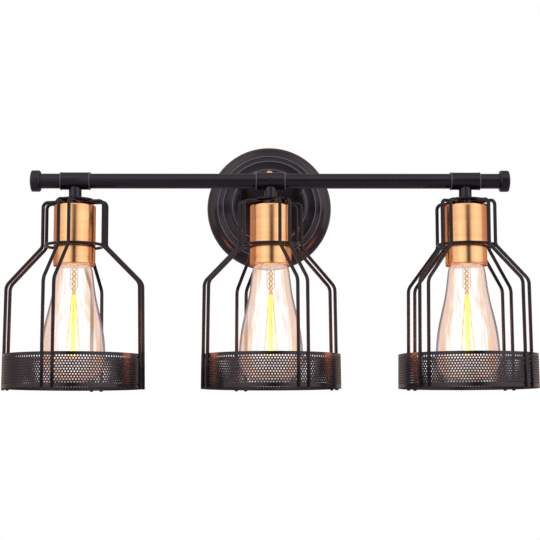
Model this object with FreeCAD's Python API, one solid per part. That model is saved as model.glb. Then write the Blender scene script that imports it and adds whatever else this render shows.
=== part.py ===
import FreeCAD, Part
import math
import os

# Three lamp wall light. Millimetres, +Z up, the room is towards -Y.
# The origin is the centre of the round canopy on the wall plane.

# Layout
lamp_count = 3
lamp_spacing = 195.0
bar_reach = 105.0
bar_height = 12.0
cage_turns_deg = (-13.0, 25.0, -44.5)
lamp_sides = ("left", "middle", "right")

# Clearances
seat_gap = 0.05
running_gap = 0.08
thread_gap = 0.06
weld_gap = 0.05
overrun = 1.0
same_point = 0.0005

# Canopy, a spun steel dish with two ring steps and a raised hub
# Widths run outward from the hub, and rises run forward from the wall
hub_radius = 40.2
second_ring_width = 8.8
first_ring_width = 5.1
crown_width = 8.3
rim_width = 3.8
rim_rise = 2.5
crown_rise = 7.1
first_ring_rise = 5.6
second_ring_rise = 2.8
hub_rise = 5.0
ring_step = 0.9
hub_wall_height = 3.2
hub_chamfer = 1.6
canopy_wall = 1.2

# Mounting bracket on the electrical box, and its hardware
bracket_thickness = 1.6
bracket_rim_gap = 9.0
bracket_width = 20.0
bracket_post_end = 7.0
bracket_post_width = 16.0
bracket_corner = 4.0
box_screw_spacing = 79.4
box_slot_length = 16.0
box_slot_width = 4.8
stud_radius = 2.0
cap_nut_margin = 0.9
cap_nut_radius = 4.7
cap_nut_dome_radius = 4.3
cap_nut_height = 8.6
cap_nut_collar = 1.6
ground_screw_offset = 16.0
ground_screw_radius = 2.0
ground_head_radius = 4.0
ground_head_height = 2.2
ground_head_rim = 0.6

# Arms between the canopy and the bar
arm_radius = 5.25
arm_thread_depth = 0.35
arm_thread_wall = 0.9
arm_thread_length = 8.0
nut_wall = 1.35
nut_height = 4.0
nut_room = 0.3675

# Bar with its end caps
bar_radius = 7.5
bar_wall = 1.2
bar_overhang = 45.2
cap_wall = 3.15
cap_face = 4.0
cap_dome = 1.5
cap_chamfer = 1.0
cap_socket_depth = 6.5

# Collar on the bar over each lamp, with its set screw
collar_wall = 1.55
collar_length = 30.4
collar_chamfer = 1.1
set_screw_radius = 1.6
set_screw_sink = 0.35
set_screw_recess_radius = 0.8
set_screw_recess_depth = 0.7

# Neck and threaded nipple under each collar
neck_wall = 1.34
neck_length = 9.3
neck_groove_depth = 0.4
neck_groove_height = 0.8
nipple_radius = 5.0
nipple_wall = 1.6
nipple_entry = 1.8
nipple_reach = 5.0
nipple_nut_wall = 1.19

# Cage plate
plate_radius = 19.0
plate_thickness = 1.5
plate_boss_radius = 9.5
plate_edge_round = 0.6

# Cage wires, four pairs round each lamp
pair_count = 4
wire_radius = 1.75
pair_spacing = 10.5
wire_start_gap = 2.0
cage_gap = 9.5
cage_flare = 37.6
mouth_flare = 1.4
top_bend_radius = 5.0
waist_bend_radius = 7.0
shoulder_bend_radius = 11.0
waist_drop = 66.4
flare_drop = 37.7
window_drop = 69.4
wire_tail = 1.0

# Waist ring and perforated band
ring_wire_radius = 1.5
ring_rise = 1.2
band_height = 33.5
band_wall = 0.8

# Socket cup
cup_clearance = 1.0
cup_gap = 2.45
cup_wall = 0.8
cup_skirt = 2.85
cup_edge_round = 2.4

# Lamp holder inside the cup
holder_wall = 3.87
holder_top_wall = 5.0
holder_cavity_radius = 11.0
holder_cavity_height = 12.0
holder_floor = 5.0
holder_lip_rise = 1.5
holder_edge_round = 1.0
shell_wall = 0.5
shell_end_gap = 1.0
contact_radius = 5.0
contact_thickness = 0.8
contact_tongue_radius = 2.4
contact_spring_height = 6.5

# Lamp: screw base, glass envelope, stem and filament
base_radius = 13.0
base_length = 25.0
base_wall = 0.4
base_button_radius = 4.7
base_button_height = 1.0
base_cone_height = 3.0
base_cone_radius = 9.0
base_solder_gap = 0.1
glass_radius = 32.0
glass_length = 121.0
glass_wall = 0.8
glass_overlap = 2.5
stem_flare_gap = 0.1
stem_flare_height = 4.0
stem_radius = 4.0
stem_length = 26.0
stem_rod_radius = 0.8
stem_rod_end = 1.2
filament_count = 4
filament_radius = 0.8
filament_rod_gap = 0.15
filament_foot_radius = 7.0
filament_turn_share = 0.08
filament_stem_gap = 4.0
filament_tip_gap = 25.0
support_radius = 0.5

# Insulated leads, one live and one neutral to each lamp
lead_radius = 0.9
lead_bend_radius = 3.0
lead_side_offset = 1.3
lead_level_offset = 1.2
lead_canopy_depth = 12.0
lead_end_gap = 0.3

# Outline of the glass: radius as a share of the widest radius,
# and distance below the base rim as a share of the length from the rim to the tip
glass_shares = (
    (0.400, 0.004),
    (0.450, 0.026),
    (0.530, 0.060),
    (0.592, 0.150),
    (0.652, 0.245),
    (0.728, 0.335),
    (0.805, 0.420),
    (0.878, 0.505),
    (0.934, 0.590),
    (0.972, 0.675),
    (0.994, 0.755),
    (1.000, 0.800),
)
glass_tip_shares = (
    (0.945, 0.880),
    (0.740, 0.950),
    (0.400, 0.988),
)

quarter_turn = 90.0
full_turn = 360.0
hex_sides = 6
origin = FreeCAD.Vector(0, 0, 0)
axis_x = FreeCAD.Vector(1, 0, 0)
axis_y = FreeCAD.Vector(0, 1, 0)
axis_z = FreeCAD.Vector(0, 0, 1)


def point(x, y, z):
    return FreeCAD.Vector(x, y, z)


def save(shape, node):
    """Write one node, with every solid in it."""
    solids = shape.Solids
    result = solids[0] if len(solids) == 1 else Part.makeCompound(solids)
    result.exportStep("parts/" + node + ".step")


def turned(corners):
    """Revolve a closed outline of (radius, height) corners about Z.

    A corner of four numbers is the end of an arc, after the point that it passes."""
    edges = []
    here = point(corners[0][0], 0, corners[0][1])
    first = here
    for corner in list(corners[1:]) + [corners[0][:2]]:
        if len(corner) == 4:
            through = point(corner[0], 0, corner[1])
            there = point(corner[2], 0, corner[3])
            edges.append(Part.Arc(here, through, there).toShape())
        else:
            there = point(corner[0], 0, corner[1])
            if there.isEqual(here, same_point):
                continue
            edges.append(Part.LineSegment(here, there).toShape())
        here = there
    if not here.isEqual(first, same_point):
        edges.append(Part.LineSegment(here, first).toShape())
    face = Part.Face(Part.Wire(edges))
    return face.revolve(origin, axis_z, full_turn)


def drum(radius, low, high):
    """A plain cylinder about Z between two heights."""
    return Part.makeCylinder(radius, high - low, point(0, 0, low), axis_z)


def pipe(radius, bore, low, high):
    return drum(radius, low, high).cut(drum(bore, low - overrun, high + overrun))


def hex_nut(width, bore, low, high):
    """A hexagon nut about Z, its corners chamfered on both faces."""
    corner_radius = width / math.sqrt(3)
    corners = []
    for index in range(hex_sides + 1):
        angle = math.radians(index * full_turn / hex_sides)
        corners.append(point(corner_radius * math.cos(angle), corner_radius * math.sin(angle), low))
    body = Part.Face(Part.makePolygon(corners)).extrude(point(0, 0, high - low))
    flat = width / 2
    drop = (corner_radius - flat) / 2
    round_blank = turned((
        (0, low),
        (flat, low),
        (corner_radius, low + drop),
        (corner_radius, high - drop),
        (flat, high),
        (0, high),
    ))
    return body.common(round_blank).cut(drum(bore, low - overrun, high + overrun))


def rounded_path(points, radii):
    """Straight runs through the points, joined by tangent arcs of the given radii."""
    edges = []
    start = points[0]
    for index in range(1, len(points) - 1):
        corner = points[index]
        back = (points[index - 1] - corner).normalize()
        ahead = (points[index + 1] - corner).normalize()
        half = back.getAngle(ahead) / 2
        reach = radii[index - 1] / math.tan(half)
        enter = corner + back * reach
        leave = corner + ahead * reach
        toward = (back + ahead).normalize()
        middle = corner + toward * (radii[index - 1] / math.sin(half) - radii[index - 1])
        edges.append(Part.LineSegment(start, enter).toShape())
        edges.append(Part.Arc(enter, middle, leave).toShape())
        start = leave
    edges.append(Part.LineSegment(start, points[-1]).toShape())
    return Part.Wire(edges)


def bent_rod(points, radii, radius):
    """A round rod along a rounded path."""
    path = rounded_path(points, radii)
    heading = points[1] - points[0]
    ring = Part.Wire([Part.Circle(points[0], heading, radius).toShape()])
    sweep = Part.BRepOffsetAPI.MakePipeShell(path)
    sweep.add(ring)
    sweep.build()
    sweep.makeSolid()
    return Part.Solid(sweep.shape()) if sweep.shape().ShapeType != "Solid" else sweep.shape()


def to_room(shape):
    """Turn a shape that was made about Z so that its height points into the room."""
    return shape.rotated(origin, axis_x, quarter_turn)


def to_bar(shape):
    """Turn a shape that was made about Z so that its height runs along the bar."""
    return shape.rotated(origin, axis_y, quarter_turn)


def at_bar(shape, x=0):
    """Move a shape from the origin to the bar's axis."""
    return shape.translated(point(x, -bar_reach, bar_height))


lamp_places = []
for lamp_index in range(lamp_count):
    lamp_places.append((lamp_index - (lamp_count - 1) / 2) * lamp_spacing)

# What follows from the sizes above
second_ring_radius = hub_radius + second_ring_width
first_ring_radius = second_ring_radius + first_ring_width
canopy_crown_radius = first_ring_radius + crown_width
canopy_radius = canopy_crown_radius + rim_width
canopy_crown_height = rim_rise + crown_rise
first_ring_height = canopy_crown_height + first_ring_rise
second_ring_height = first_ring_height + second_ring_rise
hub_height = second_ring_height + hub_rise
hub_inside = hub_height - canopy_wall

stud_spacing = 2 * (hub_radius - hub_chamfer - cap_nut_margin - cap_nut_radius)
bracket_length = 2 * (canopy_radius - canopy_wall - bracket_rim_gap)
bracket_post_length = stud_spacing + 2 * bracket_post_end

# The arms stand as far apart as their nuts leave room inside the hub
arm_thread_radius = arm_radius - arm_thread_depth
arm_bore_radius = arm_thread_radius - arm_thread_wall
nut_width = 2 * (arm_thread_radius + nut_wall)
arm_circle_radius = hub_radius - canopy_wall - hub_chamfer - nut_width / 2 - nut_room
arm_place = math.sqrt(arm_circle_radius ** 2 - bar_height ** 2)
arm_places = (-arm_place, arm_place)

bar_length = (lamp_count - 1) * lamp_spacing + 2 * bar_overhang
bar_bore_radius = bar_radius - bar_wall
bar_clear_radius = bar_radius + seat_gap
cap_radius = bar_clear_radius + cap_wall
cap_length = cap_socket_depth + cap_face
collar_radius = bar_clear_radius + collar_wall
collar_clear_radius = collar_radius + seat_gap
neck_drop = collar_radius + neck_length
neck_radius = nipple_radius + thread_gap + neck_wall
neck_groove_radius = neck_radius - neck_groove_depth
nipple_bore_radius = nipple_radius - nipple_wall
nipple_top_drop = bar_bore_radius - nipple_entry
nipple_nut_width = 2 * (nipple_radius + thread_gap + nipple_nut_wall)
wire_start_radius = plate_boss_radius + wire_start_gap

shell_bore_radius = base_radius + running_gap
shell_radius = shell_bore_radius + shell_wall
shell_length = base_length - shell_end_gap
holder_bore_radius = shell_radius + seat_gap
holder_radius = holder_bore_radius + holder_wall
cup_radius = holder_radius + cup_gap + cup_wall
upper_wire_radius = cup_radius + cage_gap + wire_radius
lower_wire_radius = upper_wire_radius + cage_flare
mouth_wire_radius = lower_wire_radius + mouth_flare
shoulder_drop = waist_drop + flare_drop
band_top_drop = shoulder_drop + window_drop
band_bottom_drop = band_top_drop + band_height
wire_end_drop = band_bottom_drop + wire_tail


# Canopy
def dish(offset):
    """The canopy's outline, drawn in by an offset, as a closed blank."""
    return turned((
        (0, 0),
        (canopy_radius - offset, 0),
        (canopy_radius - offset, rim_rise - offset / 2),
        (canopy_crown_radius - offset, canopy_crown_height - offset,
         first_ring_radius + ring_step - offset, first_ring_height - ring_step - offset),
        (first_ring_radius + ring_step - offset, first_ring_height - offset),
        (first_ring_radius - offset, first_ring_height - offset),
        (first_ring_radius - ring_step - offset, first_ring_height - ring_step / 2 - offset),
        (second_ring_radius + ring_step - offset, second_ring_height - 2 * ring_step - offset),
        (second_ring_radius + ring_step - offset, second_ring_height - ring_step - offset),
        (second_ring_radius - offset, second_ring_height - offset),
        (hub_radius + ring_step - offset, hub_height - hub_wall_height - offset),
        (hub_radius - offset, hub_height - hub_wall_height + ring_step - offset),
        (hub_radius - offset, hub_height - hub_chamfer - offset),
        (hub_radius - hub_chamfer - offset, hub_height - offset),
        (0, hub_height - offset),
    ))


def stud_places():
    return ((0, stud_spacing / 2), (0, -stud_spacing / 2))


def make_canopy():
    shell = to_room(dish(0).cut(dish(canopy_wall)))
    for x, z in stud_places():
        hole = drum(stud_radius + thread_gap, 0, hub_height + overrun)
        shell = shell.cut(to_room(hole).translated(point(x, 0, z)))
    for x in arm_places:
        hole = drum(arm_thread_radius + thread_gap, 0, hub_height + overrun)
        shell = shell.cut(to_room(hole).translated(point(x, 0, bar_height)))
    return shell


# Bracket and hardware
def rounded_plate(length, width, thickness, corner):
    plate = Part.makeBox(length, thickness, width, point(-length / 2, -thickness, -width / 2))
    upright = [edge for edge in plate.Edges if abs(edge.BoundBox.YLength - thickness) < seat_gap]
    return plate.makeFillet(corner, upright)


def make_bracket():
    bar = rounded_plate(bracket_length, bracket_width, bracket_thickness, bracket_corner)
    post = rounded_plate(bracket_post_width, bracket_post_length, bracket_thickness, bracket_corner)
    plate = bar.fuse(post).removeSplitter()
    slot_radius = box_slot_width / 2
    slot_run = box_slot_length - box_slot_width
    for side in (-1, 1):
        middle = side * box_screw_spacing / 2
        deep = bracket_thickness + 2 * overrun
        slot = Part.makeBox(slot_run, deep, box_slot_width,
                            point(middle - slot_run / 2, -bracket_thickness - overrun, -slot_radius))
        for end in (-1, 1):
            hole = drum(slot_radius, -overrun, bracket_thickness + overrun)
            slot = slot.fuse(to_room(hole).translated(point(middle + end * slot_run / 2, 0, 0)))
        plate = plate.cut(slot)
    for x, z in stud_places():
        hole = drum(stud_radius + thread_gap, -overrun, bracket_thickness + overrun)
        plate = plate.cut(to_room(hole).translated(point(x, 0, z)))
    hole = drum(ground_screw_radius + thread_gap, -overrun, bracket_thickness + overrun)
    return plate.cut(to_room(hole).translated(point(ground_screw_offset, 0, 0)))


def make_studs():
    studs = []
    for x, z in stud_places():
        stud = drum(stud_radius, 0, hub_height + cap_nut_height / 2)
        studs.append(to_room(stud).translated(point(x, 0, z)))
    return Part.makeCompound(studs)


def make_cap_nuts():
    nuts = []
    low = hub_height
    high = hub_height + cap_nut_height
    dome_centre = point(0, 0, high - cap_nut_dome_radius)
    dome = Part.makeSphere(cap_nut_dome_radius, dome_centre)
    blank = drum(cap_nut_radius, low, low + cap_nut_collar)
    blank = blank.fuse(drum(cap_nut_dome_radius, low, high - cap_nut_dome_radius)).fuse(dome)
    thread = drum(stud_radius + thread_gap, low - overrun, hub_height + cap_nut_height / 2 + thread_gap)
    for x, z in stud_places():
        nuts.append(to_room(blank.cut(thread)).translated(point(x, 0, z)))
    return Part.makeCompound(nuts)


def make_ground_screw():
    head_low = bracket_thickness
    head_high = bracket_thickness + ground_head_height
    screw = turned((
        (0, 0),
        (ground_screw_radius, 0),
        (ground_screw_radius, head_low),
        (ground_head_radius, head_low),
        (ground_head_radius, head_high - ground_head_rim),
        (ground_head_radius - ground_head_rim, head_high),
        (0, head_high),
    ))
    slot = Part.makeBox(2 * ground_head_radius, ground_head_rim, 2 * ground_head_rim,
                        point(-ground_head_radius, -ground_head_rim / 2, head_high - ground_head_rim))
    return to_room(screw.cut(slot)).translated(point(ground_screw_offset, 0, 0))


# Arms
def make_arm(x):
    saddle = Part.makeCylinder(bar_clear_radius, bar_length, point(-bar_length / 2, 0, 0), axis_x)
    tube = drum(arm_radius, hub_height, bar_reach)
    thread = drum(arm_thread_radius, hub_inside - arm_thread_length, hub_height)
    bore = drum(arm_bore_radius, 0, bar_reach)
    arm = to_room(tube.fuse(thread).cut(bore)).translated(point(x, 0, bar_height))
    return arm.cut(at_bar(saddle))


def make_arm_nuts():
    nuts = []
    for x in arm_places:
        nut = hex_nut(nut_width, arm_thread_radius + thread_gap, hub_inside - nut_height, hub_inside)
        nuts.append(to_room(nut).translated(point(x, 0, bar_height)))
    return Part.makeCompound(nuts)


# Bar and end caps
def make_bar():
    half = bar_length / 2 - cap_length + cap_socket_depth
    tube = at_bar(to_bar(pipe(bar_radius, bar_bore_radius, -half, half)))
    for x in arm_places:
        hole = to_room(drum(arm_bore_radius, 0, bar_reach))
        tube = tube.cut(hole.translated(point(x, 0, bar_height)))
    for x in lamp_places:
        hole = drum(nipple_radius + thread_gap, -bar_radius - overrun, 0)
        tube = tube.cut(at_bar(hole, x))
    return tube


def make_end_cap(side):
    """A flanged cap over the bar's end, its outer face a shallow dome."""
    inner = bar_length / 2 - cap_length
    outer = bar_length / 2
    rim = outer - cap_dome
    face_radius = cap_radius - cap_chamfer
    blank = turned((
        (0, inner),
        (face_radius, inner),
        (cap_radius, inner + cap_chamfer),
        (cap_radius, rim - cap_chamfer),
        (face_radius, rim),
        (face_radius, outer),
        (0, outer),
    ))
    dome_radius = (face_radius ** 2 + cap_dome ** 2) / (2 * cap_dome)
    below_dome = drum(cap_radius + overrun, inner - overrun, rim)
    dome = Part.makeSphere(dome_radius, point(0, 0, outer - dome_radius))
    blank = blank.common(below_dome.fuse(dome))
    socket = drum(bar_clear_radius, inner - overrun, inner + cap_socket_depth)
    cap = to_bar(blank.cut(socket))
    if side < 0:
        cap = cap.mirror(origin, axis_x)
    return at_bar(cap)


# Collars, necks and nipples
def make_collar(x):
    half = collar_length / 2
    blank = turned((
        (bar_clear_radius, -half),
        (collar_radius - collar_chamfer, -half),
        (collar_radius, -half + collar_chamfer),
        (collar_radius, half - collar_chamfer),
        (collar_radius - collar_chamfer, half),
        (bar_clear_radius, half),
    ))
    sleeve = to_bar(blank)
    sleeve = sleeve.cut(drum(nipple_radius + thread_gap, -collar_radius - overrun, 0))
    hole = to_room(drum(set_screw_radius + thread_gap, 0, collar_radius + overrun))
    return at_bar(sleeve.cut(hole), x)


def make_set_screws():
    screws = []
    tip = bar_clear_radius
    head = collar_radius - set_screw_sink
    body = drum(set_screw_radius, tip, head)
    recess = drum(set_screw_recess_radius, head - set_screw_recess_depth, head + overrun)
    for x in lamp_places:
        screws.append(at_bar(to_room(body.cut(recess)), x))
    return Part.makeCompound(screws)


def make_neck(x):
    groove_top = -neck_drop + 2 * neck_groove_height
    neck = turned((
        (nipple_radius + thread_gap, -neck_drop),
        (neck_radius, -neck_drop),
        (neck_radius, groove_top - neck_groove_height),
        (neck_groove_radius, groove_top - neck_groove_height),
        (neck_groove_radius, groove_top),
        (neck_radius, groove_top),
        (neck_radius, 0),
        (nipple_radius + thread_gap, 0),
    ))
    saddle = Part.makeCylinder(collar_clear_radius, collar_length, point(-collar_length / 2, 0, 0), axis_x)
    return at_bar(neck.cut(saddle), x)


plate_top = -neck_drop
plate_bottom = plate_top - plate_thickness
wire_level = plate_bottom - weld_gap - wire_radius
cup_top = wire_level - wire_radius - cup_clearance
nut_top = cup_top - cup_wall
holder_top = nut_top - nut_height
nipple_bottom = holder_top - nipple_reach


def make_nipple(x):
    return at_bar(pipe(nipple_radius, nipple_bore_radius, nipple_bottom, -nipple_top_drop), x)


def make_nipple_nuts():
    nuts = []
    for x in lamp_places:
        nut = hex_nut(nipple_nut_width, nipple_radius + thread_gap, holder_top, nut_top)
        nuts.append(at_bar(nut, x))
    return Part.makeCompound(nuts)


# Cage
def make_cage_plate(x):
    bore = nipple_radius + running_gap
    plate = turned((
        (bore, cup_top),
        (plate_boss_radius, cup_top),
        (plate_boss_radius, plate_bottom),
        (plate_radius - plate_edge_round, plate_bottom),
        (plate_radius, plate_bottom + plate_edge_round),
        (plate_radius - plate_edge_round, plate_top),
        (bore, plate_top),
    ))
    return at_bar(plate, x)


def wire_radius_at(level):
    """Distance from the lamp's axis to a wire's centre line below the shoulder."""
    share = (-level - shoulder_drop) / (wire_end_drop - shoulder_drop)
    return lower_wire_radius + share * (mouth_wire_radius - lower_wire_radius)


def along_pair(radius):
    """How far out along its pair's direction a wire lies at a distance from the axis."""
    return math.sqrt(radius ** 2 - (pair_spacing / 2) ** 2)


def make_cage_wires(x, turn_deg):
    wires = []
    upper = along_pair(upper_wire_radius)
    lower = along_pair(lower_wire_radius)
    mouth = along_pair(mouth_wire_radius)
    for side in (-1, 1):
        offset = side * pair_spacing / 2
        points = (
            point(offset, -wire_start_radius, wire_level),
            point(offset, -upper, wire_level),
            point(offset, -upper, -waist_drop),
            point(offset, -lower, -shoulder_drop),
            point(offset, -mouth, -wire_end_drop),
        )
        radii = (top_bend_radius, waist_bend_radius, shoulder_bend_radius)
        wires.append(bent_rod(points, radii, wire_radius))
    placed = []
    for pair in range(pair_count):
        angle = turn_deg + pair * full_turn / pair_count
        for wire in wires:
            placed.append(at_bar(wire.rotated(origin, axis_z, angle), x))
    return Part.makeCompound(placed)


def make_waist_ring(x):
    radius = upper_wire_radius - wire_radius - ring_wire_radius - weld_gap
    level = -waist_drop + ring_rise
    ring = Part.makeTorus(radius, ring_wire_radius, point(0, 0, level), axis_z)
    return at_bar(ring, x)


def make_band(x):
    top = wire_radius_at(-band_top_drop) - wire_radius - weld_gap
    bottom = wire_radius_at(-band_bottom_drop) - wire_radius - weld_gap
    band = turned((
        (bottom - band_wall, -band_bottom_drop),
        (bottom, -band_bottom_drop),
        (top, -band_top_drop),
        (top - band_wall, -band_top_drop),
    ))
    return at_bar(band, x)


# Socket cup and lamp holder
floor_top = holder_top - holder_top_wall - holder_cavity_height
floor_bottom = floor_top - holder_floor
contact_tip = floor_bottom - contact_spring_height
base_top = contact_tip - seat_gap
base_rim = base_top - base_length
holder_bottom = base_rim + holder_lip_rise
cup_bottom = base_rim - cup_skirt


def make_cup(x):
    inner_round = cup_edge_round - cup_wall
    corner = cup_edge_round * (1 - math.sqrt(0.5))
    inner_corner = cup_wall + inner_round * (1 - math.sqrt(0.5))
    cup = turned((
        (nipple_radius + thread_gap, cup_top),
        (cup_radius - cup_edge_round, cup_top),
        (cup_radius - corner, cup_top - corner, cup_radius, cup_top - cup_edge_round),
        (cup_radius, cup_bottom),
        (cup_radius - cup_wall, cup_bottom),
        (cup_radius - cup_wall, cup_top - cup_edge_round),
        (cup_radius - inner_corner, cup_top - inner_corner, cup_radius - cup_edge_round, cup_top - cup_wall),
        (nipple_radius + thread_gap, cup_top - cup_wall),
    ))
    return at_bar(cup, x)


def make_holder(x):
    holder = turned((
        (nipple_radius + thread_gap, holder_top),
        (holder_radius - holder_edge_round, holder_top),
        (holder_radius, holder_top - holder_edge_round),
        (holder_radius, holder_bottom),
        (holder_bore_radius, holder_bottom),
        (holder_bore_radius, floor_bottom),
        (0, floor_bottom),
        (0, floor_top),
        (holder_cavity_radius, floor_top),
        (holder_cavity_radius, holder_top - holder_top_wall),
        (nipple_radius + thread_gap, holder_top - holder_top_wall),
    ))
    return at_bar(holder, x)


def make_screw_shell(x):
    return at_bar(pipe(shell_radius, shell_bore_radius, holder_bottom, holder_bottom + shell_length), x)


def make_contact(x):
    contact = turned((
        (0, floor_bottom),
        (contact_radius, floor_bottom),
        (contact_radius, floor_bottom - contact_thickness),
        (contact_tongue_radius, floor_bottom - contact_thickness),
        (contact_tongue_radius, contact_tip),
        (0, contact_tip),
    ))
    return at_bar(contact, x)


# Lamp
glass_top = base_rim + glass_overlap
glass_tip = base_rim - glass_length + glass_overlap
glass_neck_radius = base_radius - base_wall - base_solder_gap
stem_flare_radius = glass_neck_radius - glass_wall - stem_flare_gap
filament_head_radius = stem_rod_radius + filament_radius + filament_rod_gap
filament_top = glass_top - stem_length - stem_radius - filament_stem_gap
filament_bottom = glass_tip + filament_tip_gap


def make_base(x):
    cavity_radius = base_radius - base_wall
    cone_bottom = base_top - base_button_height - base_cone_height
    base = turned((
        (0, base_top),
        (base_button_radius, base_top),
        (base_button_radius, base_top - base_button_height),
        (base_cone_radius, base_top - base_button_height),
        (base_radius, cone_bottom),
        (base_radius, base_rim),
        (cavity_radius, base_rim),
        (cavity_radius, cone_bottom - base_cone_height),
        (0, cone_bottom - base_cone_height),
    ))
    return at_bar(base, x)


def glass_curve(wall):
    """The envelope's outline from its top edge to its tip, drawn in by a wall."""
    span = base_rim - glass_tip
    places = []
    for radius_share, drop_share in glass_shares + glass_tip_shares:
        fall = drop_share * span
        if drop_share > glass_shares[-1][1]:
            fall -= wall * (drop_share - glass_shares[-1][1]) / (1 - glass_shares[-1][1])
        places.append(point(radius_share * glass_radius - wall, 0, base_rim - fall))
    places.append(point(0, 0, glass_tip + wall))
    curve = Part.BSplineCurve()
    heading_down = point(glass_neck_radius / 4, 0, -glass_neck_radius)
    curve.interpolate(Points=places, InitialTangent=heading_down, FinalTangent=point(-glass_radius, 0, 0))
    return places, curve


def make_glass(x):
    outer_places, outer = glass_curve(0)
    inner_places, inner = glass_curve(glass_wall)
    top_outer = point(glass_neck_radius, 0, glass_top)
    top_inner = point(glass_neck_radius - glass_wall, 0, glass_top)
    neck_outer = point(glass_neck_radius, 0, base_rim - seat_gap)
    neck_inner = point(glass_neck_radius - glass_wall, 0, base_rim - seat_gap)
    edges = [
        Part.LineSegment(top_outer, neck_outer).toShape(),
        Part.LineSegment(neck_outer, outer_places[0]).toShape(),
        outer.toShape(),
        Part.LineSegment(outer_places[-1], inner_places[-1]).toShape(),
        inner.toShape(),
        Part.LineSegment(inner_places[0], neck_inner).toShape(),
        Part.LineSegment(neck_inner, top_inner).toShape(),
        Part.LineSegment(top_inner, top_outer).toShape(),
    ]
    face = Part.Face(Part.Wire(Part.__sortEdges__(edges)))
    return at_bar(face.revolve(origin, axis_z, full_turn), x)


def make_stem(x):
    flare_top = glass_top
    rod_end = filament_bottom - stem_rod_end
    stem = turned((
        (0, flare_top - stem_flare_height / 2),
        (stem_flare_radius - glass_wall, flare_top),
        (stem_flare_radius, flare_top),
        (stem_radius, flare_top - stem_flare_height),
        (stem_radius, flare_top - stem_length),
        (stem_rod_radius, flare_top - stem_length - stem_radius),
        (stem_rod_radius, rod_end),
        (0, rod_end - stem_rod_radius),
    ))
    return at_bar(stem, x)


def make_filament(x):
    """Filament strands that fan out between a small spoked support and a wide one on the stem's rod."""
    ends = ((filament_top, filament_head_radius), (filament_bottom, filament_foot_radius))
    collar = stem_rod_radius + seat_gap
    filament = None
    for level, radius in ends:
        hub = pipe(collar + support_radius, collar, level - support_radius, level + support_radius)
        filament = hub if filament is None else filament.fuse(hub)
    for index in range(filament_count):
        angle = math.radians((index + filament_turn_share) * full_turn / filament_count)
        out = point(math.cos(angle), math.sin(angle), 0)
        head = out * filament_head_radius + point(0, 0, filament_top)
        foot = out * filament_foot_radius + point(0, 0, filament_bottom)
        run = foot - head
        filament = filament.fuse(Part.makeCylinder(filament_radius, run.Length, head, run))
        for level, radius in ends:
            start = out * (collar + support_radius / 2) + point(0, 0, level)
            reach = radius - collar - support_radius / 2
            filament = filament.fuse(Part.makeCylinder(support_radius, reach, start, out))
    return at_bar(filament, x)


# Leads
def make_lead(lamp_index, level_sign):
    """One lead from the canopy through an arm, the bar, the nipple and into the lamp holder."""
    lamp_x = lamp_places[lamp_index]
    arm_x = arm_places[1] if lamp_index == lamp_count - 1 else arm_places[0]
    heading = 1 if lamp_x > arm_x else -1
    lane_x = arm_x + heading * lead_side_offset
    lane_y = -bar_reach - level_sign * lead_level_offset
    level = bar_height + level_sign * lead_level_offset
    end = bar_height + floor_top + lead_end_gap
    points = (
        point(lane_x, -lead_canopy_depth, level),
        point(lane_x, lane_y, level),
        point(lamp_x, lane_y, level),
        point(lamp_x, lane_y, end),
    )
    return bent_rod(points, (lead_bend_radius, lead_bend_radius), lead_radius)


def make_leads(level_sign):
    return Part.makeCompound([make_lead(index, level_sign) for index in range(lamp_count)])


def main():
    os.makedirs("parts", exist_ok=True)
    save(make_canopy(), "canopy")
    save(make_bracket(), "mounting_bracket")
    save(make_studs(), "bracket_studs")
    save(make_cap_nuts(), "cap_nuts")
    save(make_ground_screw(), "ground_screw")
    save(make_arm(arm_places[0]), "left_arm")
    save(make_arm(arm_places[1]), "right_arm")
    save(make_arm_nuts(), "arm_nuts")
    save(make_bar(), "bar_tube")
    save(make_end_cap(-1), "left_end_cap")
    save(make_end_cap(1), "right_end_cap")
    save(make_set_screws(), "collar_screws")
    save(make_nipple_nuts(), "nipple_nuts")
    save(make_leads(1), "live_leads")
    save(make_leads(-1), "neutral_leads")
    for name, x, turn_deg in zip(lamp_sides, lamp_places, cage_turns_deg):
        save(make_collar(x), name + "_collar")
        save(make_neck(x), name + "_neck")
        save(make_nipple(x), name + "_nipple")
        save(make_cage_plate(x), name + "_cage_plate")
        save(make_cage_wires(x, turn_deg), name + "_cage_wires")
        save(make_waist_ring(x), name + "_waist_ring")
        save(make_band(x), name + "_mesh_band")
        save(make_cup(x), name + "_socket_cup")
        save(make_holder(x), name + "_lamp_holder")
        save(make_screw_shell(x), name + "_screw_shell")
        save(make_contact(x), name + "_centre_contact")
        save(make_base(x), name + "_bulb_base")
        save(make_glass(x), name + "_bulb_glass")
        save(make_stem(x), name + "_bulb_stem")
        save(make_filament(x), name + "_bulb_filament")


main()
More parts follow.
